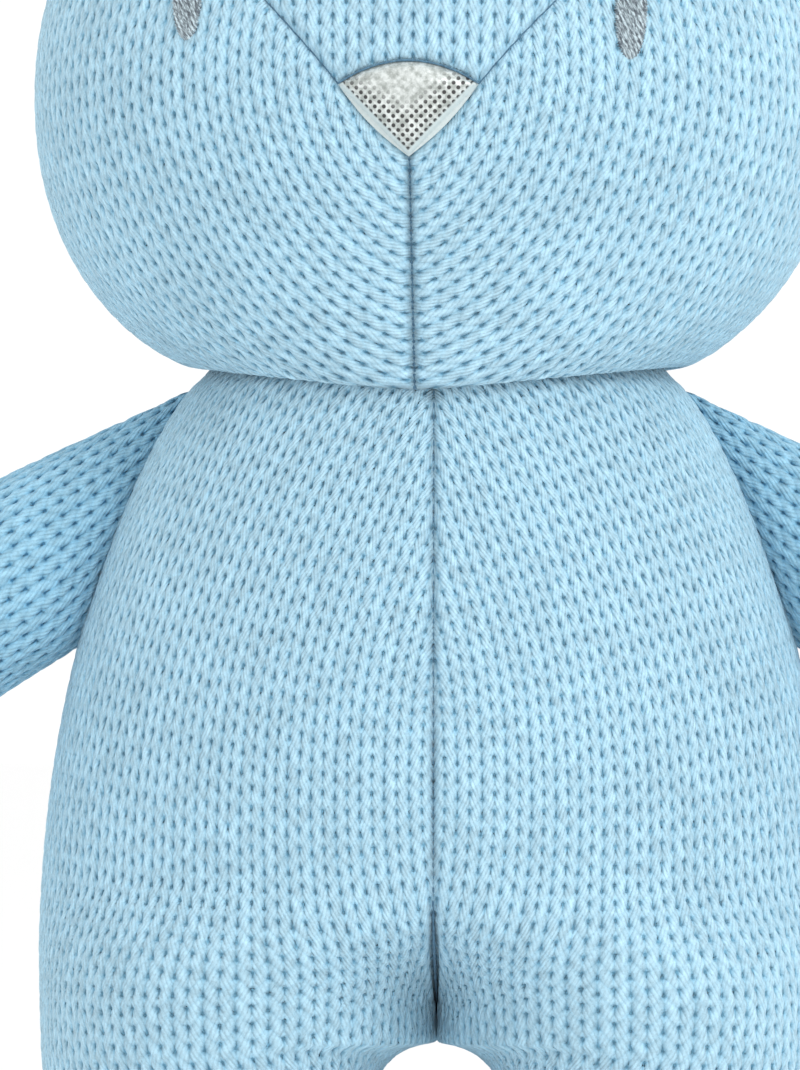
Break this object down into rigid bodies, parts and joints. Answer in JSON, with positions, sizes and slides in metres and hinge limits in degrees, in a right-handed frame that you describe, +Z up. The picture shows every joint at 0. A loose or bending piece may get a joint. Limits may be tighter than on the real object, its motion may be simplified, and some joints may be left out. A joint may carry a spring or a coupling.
{
  "type": "knitted stuffed rabbit toy",
  "caption": "Soft knitted stuffed animal with a round turning head, a foil fabric nose, stitched eyes, floppy ears, side-seam arms and legs that fold to sit.",
  "frame": {"origin": "on the floor under the middle of the toy's box", "axes": "+Z up towards the ears, the face looks along -Y, the toy's own left is +X"},
  "size_m": [0.2198, 0.0977, 0.3247],
  "materials": {
    "blue_knit": "soft machine-knitted yarn",
    "silver_foil_fabric": "metallic foil woven cloth with dark specks",
    "grey_embroidery": "metallic grey satin stitch",
    "blue_thread": "matte sewing thread",
    "polyester_fill": "loose fibre filling",
    "ear_wadding": "flat wadding",
    "satin_label": "satin ribbon"
  },
  "bodies": {
    "torso": {"torso_front_panel_left": "blue_knit", "torso_back_panel_left": "blue_knit", "torso_front_panel_right": "blue_knit", "torso_back_panel_right": "blue_knit", "torso_stuffing": "polyester_fill", "belly_seam_thread": "blue_thread", "back_seam_thread": "blue_thread", "care_label": "satin_label"},
    "neck": {"neck_ladder_stitch": "blue_thread"},
    "head": {"face_panel_left": "blue_knit", "head_back_panel_left": "blue_knit", "eye_embroidery_left": "grey_embroidery", "face_panel_right": "blue_knit", "head_back_panel_right": "blue_knit", "eye_embroidery_right": "grey_embroidery", "forehead_panel": "blue_knit", "nose_patch": "silver_foil_fabric", "chin_seam_thread": "blue_thread", "head_stuffing": "polyester_fill"},
    "ear_left": {"ear_front_left": "blue_knit", "ear_back_left": "blue_knit", "ear_lining_left": "ear_wadding"},
    "arm_left": {"arm_front_panel_left": "blue_knit", "arm_back_panel_left": "blue_knit", "arm_stuffing_left": "polyester_fill"},
    "leg_left": {"leg_front_panel_left": "blue_knit", "leg_back_panel_left": "blue_knit", "leg_stuffing_left": "polyester_fill"},
    "ear_right": {"ear_front_right": "blue_knit", "ear_back_right": "blue_knit", "ear_lining_right": "ear_wadding"},
    "arm_right": {"arm_front_panel_right": "blue_knit", "arm_back_panel_right": "blue_knit", "arm_stuffing_right": "polyester_fill"},
    "leg_right": {"leg_front_panel_right": "blue_knit", "leg_back_panel_right": "blue_knit", "leg_stuffing_right": "polyester_fill"}
  },
  "joints": [
    {"name": "neck_nod", "type": "hinge", "parent": "torso", "child": "neck", "pos_m": [0, 0, 0.11465], "axis": [1, 0, 0], "range_deg": [-10, 12]},
    {"name": "neck_turn", "type": "hinge", "parent": "neck", "child": "head", "pos_m": [0, 0, 0.11465], "axis": [0, 0, 1], "range_deg": [-30, 30]},
    {"name": "arm_left_swing", "type": "hinge", "parent": "torso", "child": "arm_left", "pos_m": [0.04835, 0, 0.12884], "axis": [0.4083, 0, -0.9128], "range_deg": [-30, 50]},
    {"name": "arm_right_swing", "type": "hinge", "parent": "torso", "child": "arm_right", "pos_m": [-0.04835, 0, 0.12884], "axis": [0.4083, 0, 0.9128], "range_deg": [-30, 50]},
    {"name": "leg_left_sit", "type": "hinge", "parent": "torso", "child": "leg_left", "pos_m": [0, -0.016, 0.052], "axis": [-1, 0, 0], "range_deg": [0, 75]},
    {"name": "leg_right_sit", "type": "hinge", "parent": "torso", "child": "leg_right", "pos_m": [0, -0.016, 0.052], "axis": [-1, 0, 0], "range_deg": [0, 75]},
    {"name": "ear_left_flop", "type": "hinge", "parent": "head", "child": "ear_left", "pos_m": [0.02748, 0.003, 0.2367], "axis": [0.9536, 0, -0.3011], "range_deg": [-40, 70]},
    {"name": "ear_right_flop", "type": "hinge", "parent": "head", "child": "ear_right", "pos_m": [-0.02748, 0.003, 0.2367], "axis": [0.9536, 0, 0.3011], "range_deg": [-40, 70]}
  ]
}
